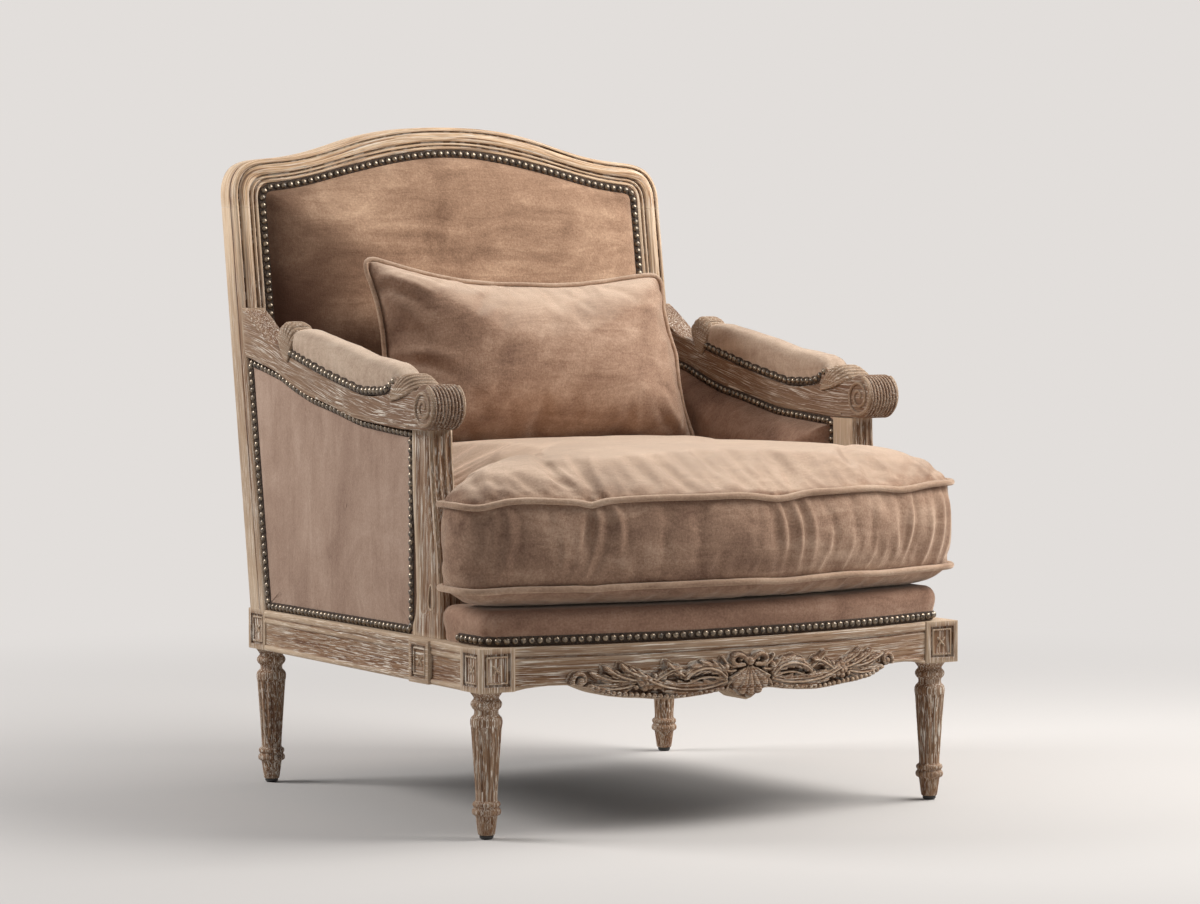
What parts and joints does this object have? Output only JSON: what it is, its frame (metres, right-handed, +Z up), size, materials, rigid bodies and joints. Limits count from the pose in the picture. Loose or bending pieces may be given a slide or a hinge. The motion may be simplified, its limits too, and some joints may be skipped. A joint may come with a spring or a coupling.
{
  "type": "bergere armchair",
  "caption": "Show-wood armchair with closed upholstered sides, a serpentine crest, scrolled arms, turned fluted legs, a loose seat cushion and a lumbar pillow.",
  "frame": {"origin": "on the floor under the middle of the chair's bounding box", "axes": "+Z up, -Y towards the front of the chair, +X to the right as seen by someone who faces its front"},
  "size_m": [0.8186, 0.8766, 0.967],
  "materials": {
    "oak": "limewashed, open grain",
    "plain_wood": "raw",
    "velvet": "short pile velvet",
    "nails": "antique",
    "screw": "zinc",
    "jute": "woven",
    "cambric": "matt cloth",
    "glide": "moulded"
  },
  "bodies": {
    "frame": {"front_left_leg": "oak", "front_right_leg": "oak", "back_left_post": "oak", "back_right_post": "oak", "crest_rail": "oak", "front_rail": "oak", "apron_carving": "oak", "left_side_rail": "oak", "right_side_rail": "oak", "left_arm_post": "oak", "right_arm_post": "oak", "left_arm_rail": "oak", "right_arm_rail": "oak", "back_rail": "plain_wood", "lower_back_rail": "plain_wood", "front_left_brace": "plain_wood", "front_right_brace": "plain_wood", "back_left_brace": "plain_wood", "back_right_brace": "plain_wood", "front_left_glide": "glide", "front_right_glide": "glide", "back_left_glide": "glide", "back_right_glide": "glide", "front_left_brace_screw": "screw", "front_right_brace_screw": "screw", "back_left_brace_screw": "screw", "back_right_brace_screw": "screw", "left_arm_pad": "velvet", "right_arm_pad": "velvet", "inside_back": "velvet", "outside_back": "velvet", "left_inside_arm": "velvet", "right_inside_arm": "velvet", "left_outside_arm": "velvet", "right_outside_arm": "velvet", "seat_deck": "velvet", "left_arm_pad_outer_nails": "nails", "left_arm_pad_inner_nails": "nails", "right_arm_pad_outer_nails": "nails", "right_arm_pad_inner_nails": "nails", "inside_back_nails": "nails", "outside_back_nails": "nails", "deck_nails": "nails", "left_inside_arm_nails": "nails", "right_inside_arm_nails": "nails", "left_outside_arm_nails": "nails", "right_outside_arm_nails": "nails", "cross_webbing_1": "jute", "cross_webbing_2": "jute", "cross_webbing_3": "jute", "long_webbing_1": "jute", "long_webbing_2": "jute", "long_webbing_3": "jute", "long_webbing_4": "jute", "dust_cover": "cambric"},
    "cushion": {"seat_cushion": "velvet", "cushion_top_welt": "velvet", "cushion_bottom_welt": "velvet"},
    "pillow": {"lumbar_pillow": "velvet", "pillow_piping": "velvet"}
  },
  "joints": [
    {"name": "cushion_lift", "type": "slide", "parent": "frame", "child": "cushion", "axis": [0, 0, 1], "range_m": [0, 0.4]},
    {"name": "pillow_lift", "type": "slide", "parent": "cushion", "child": "pillow", "axis": [0, 0, 1], "range_m": [0, 0.3]}
  ]
}
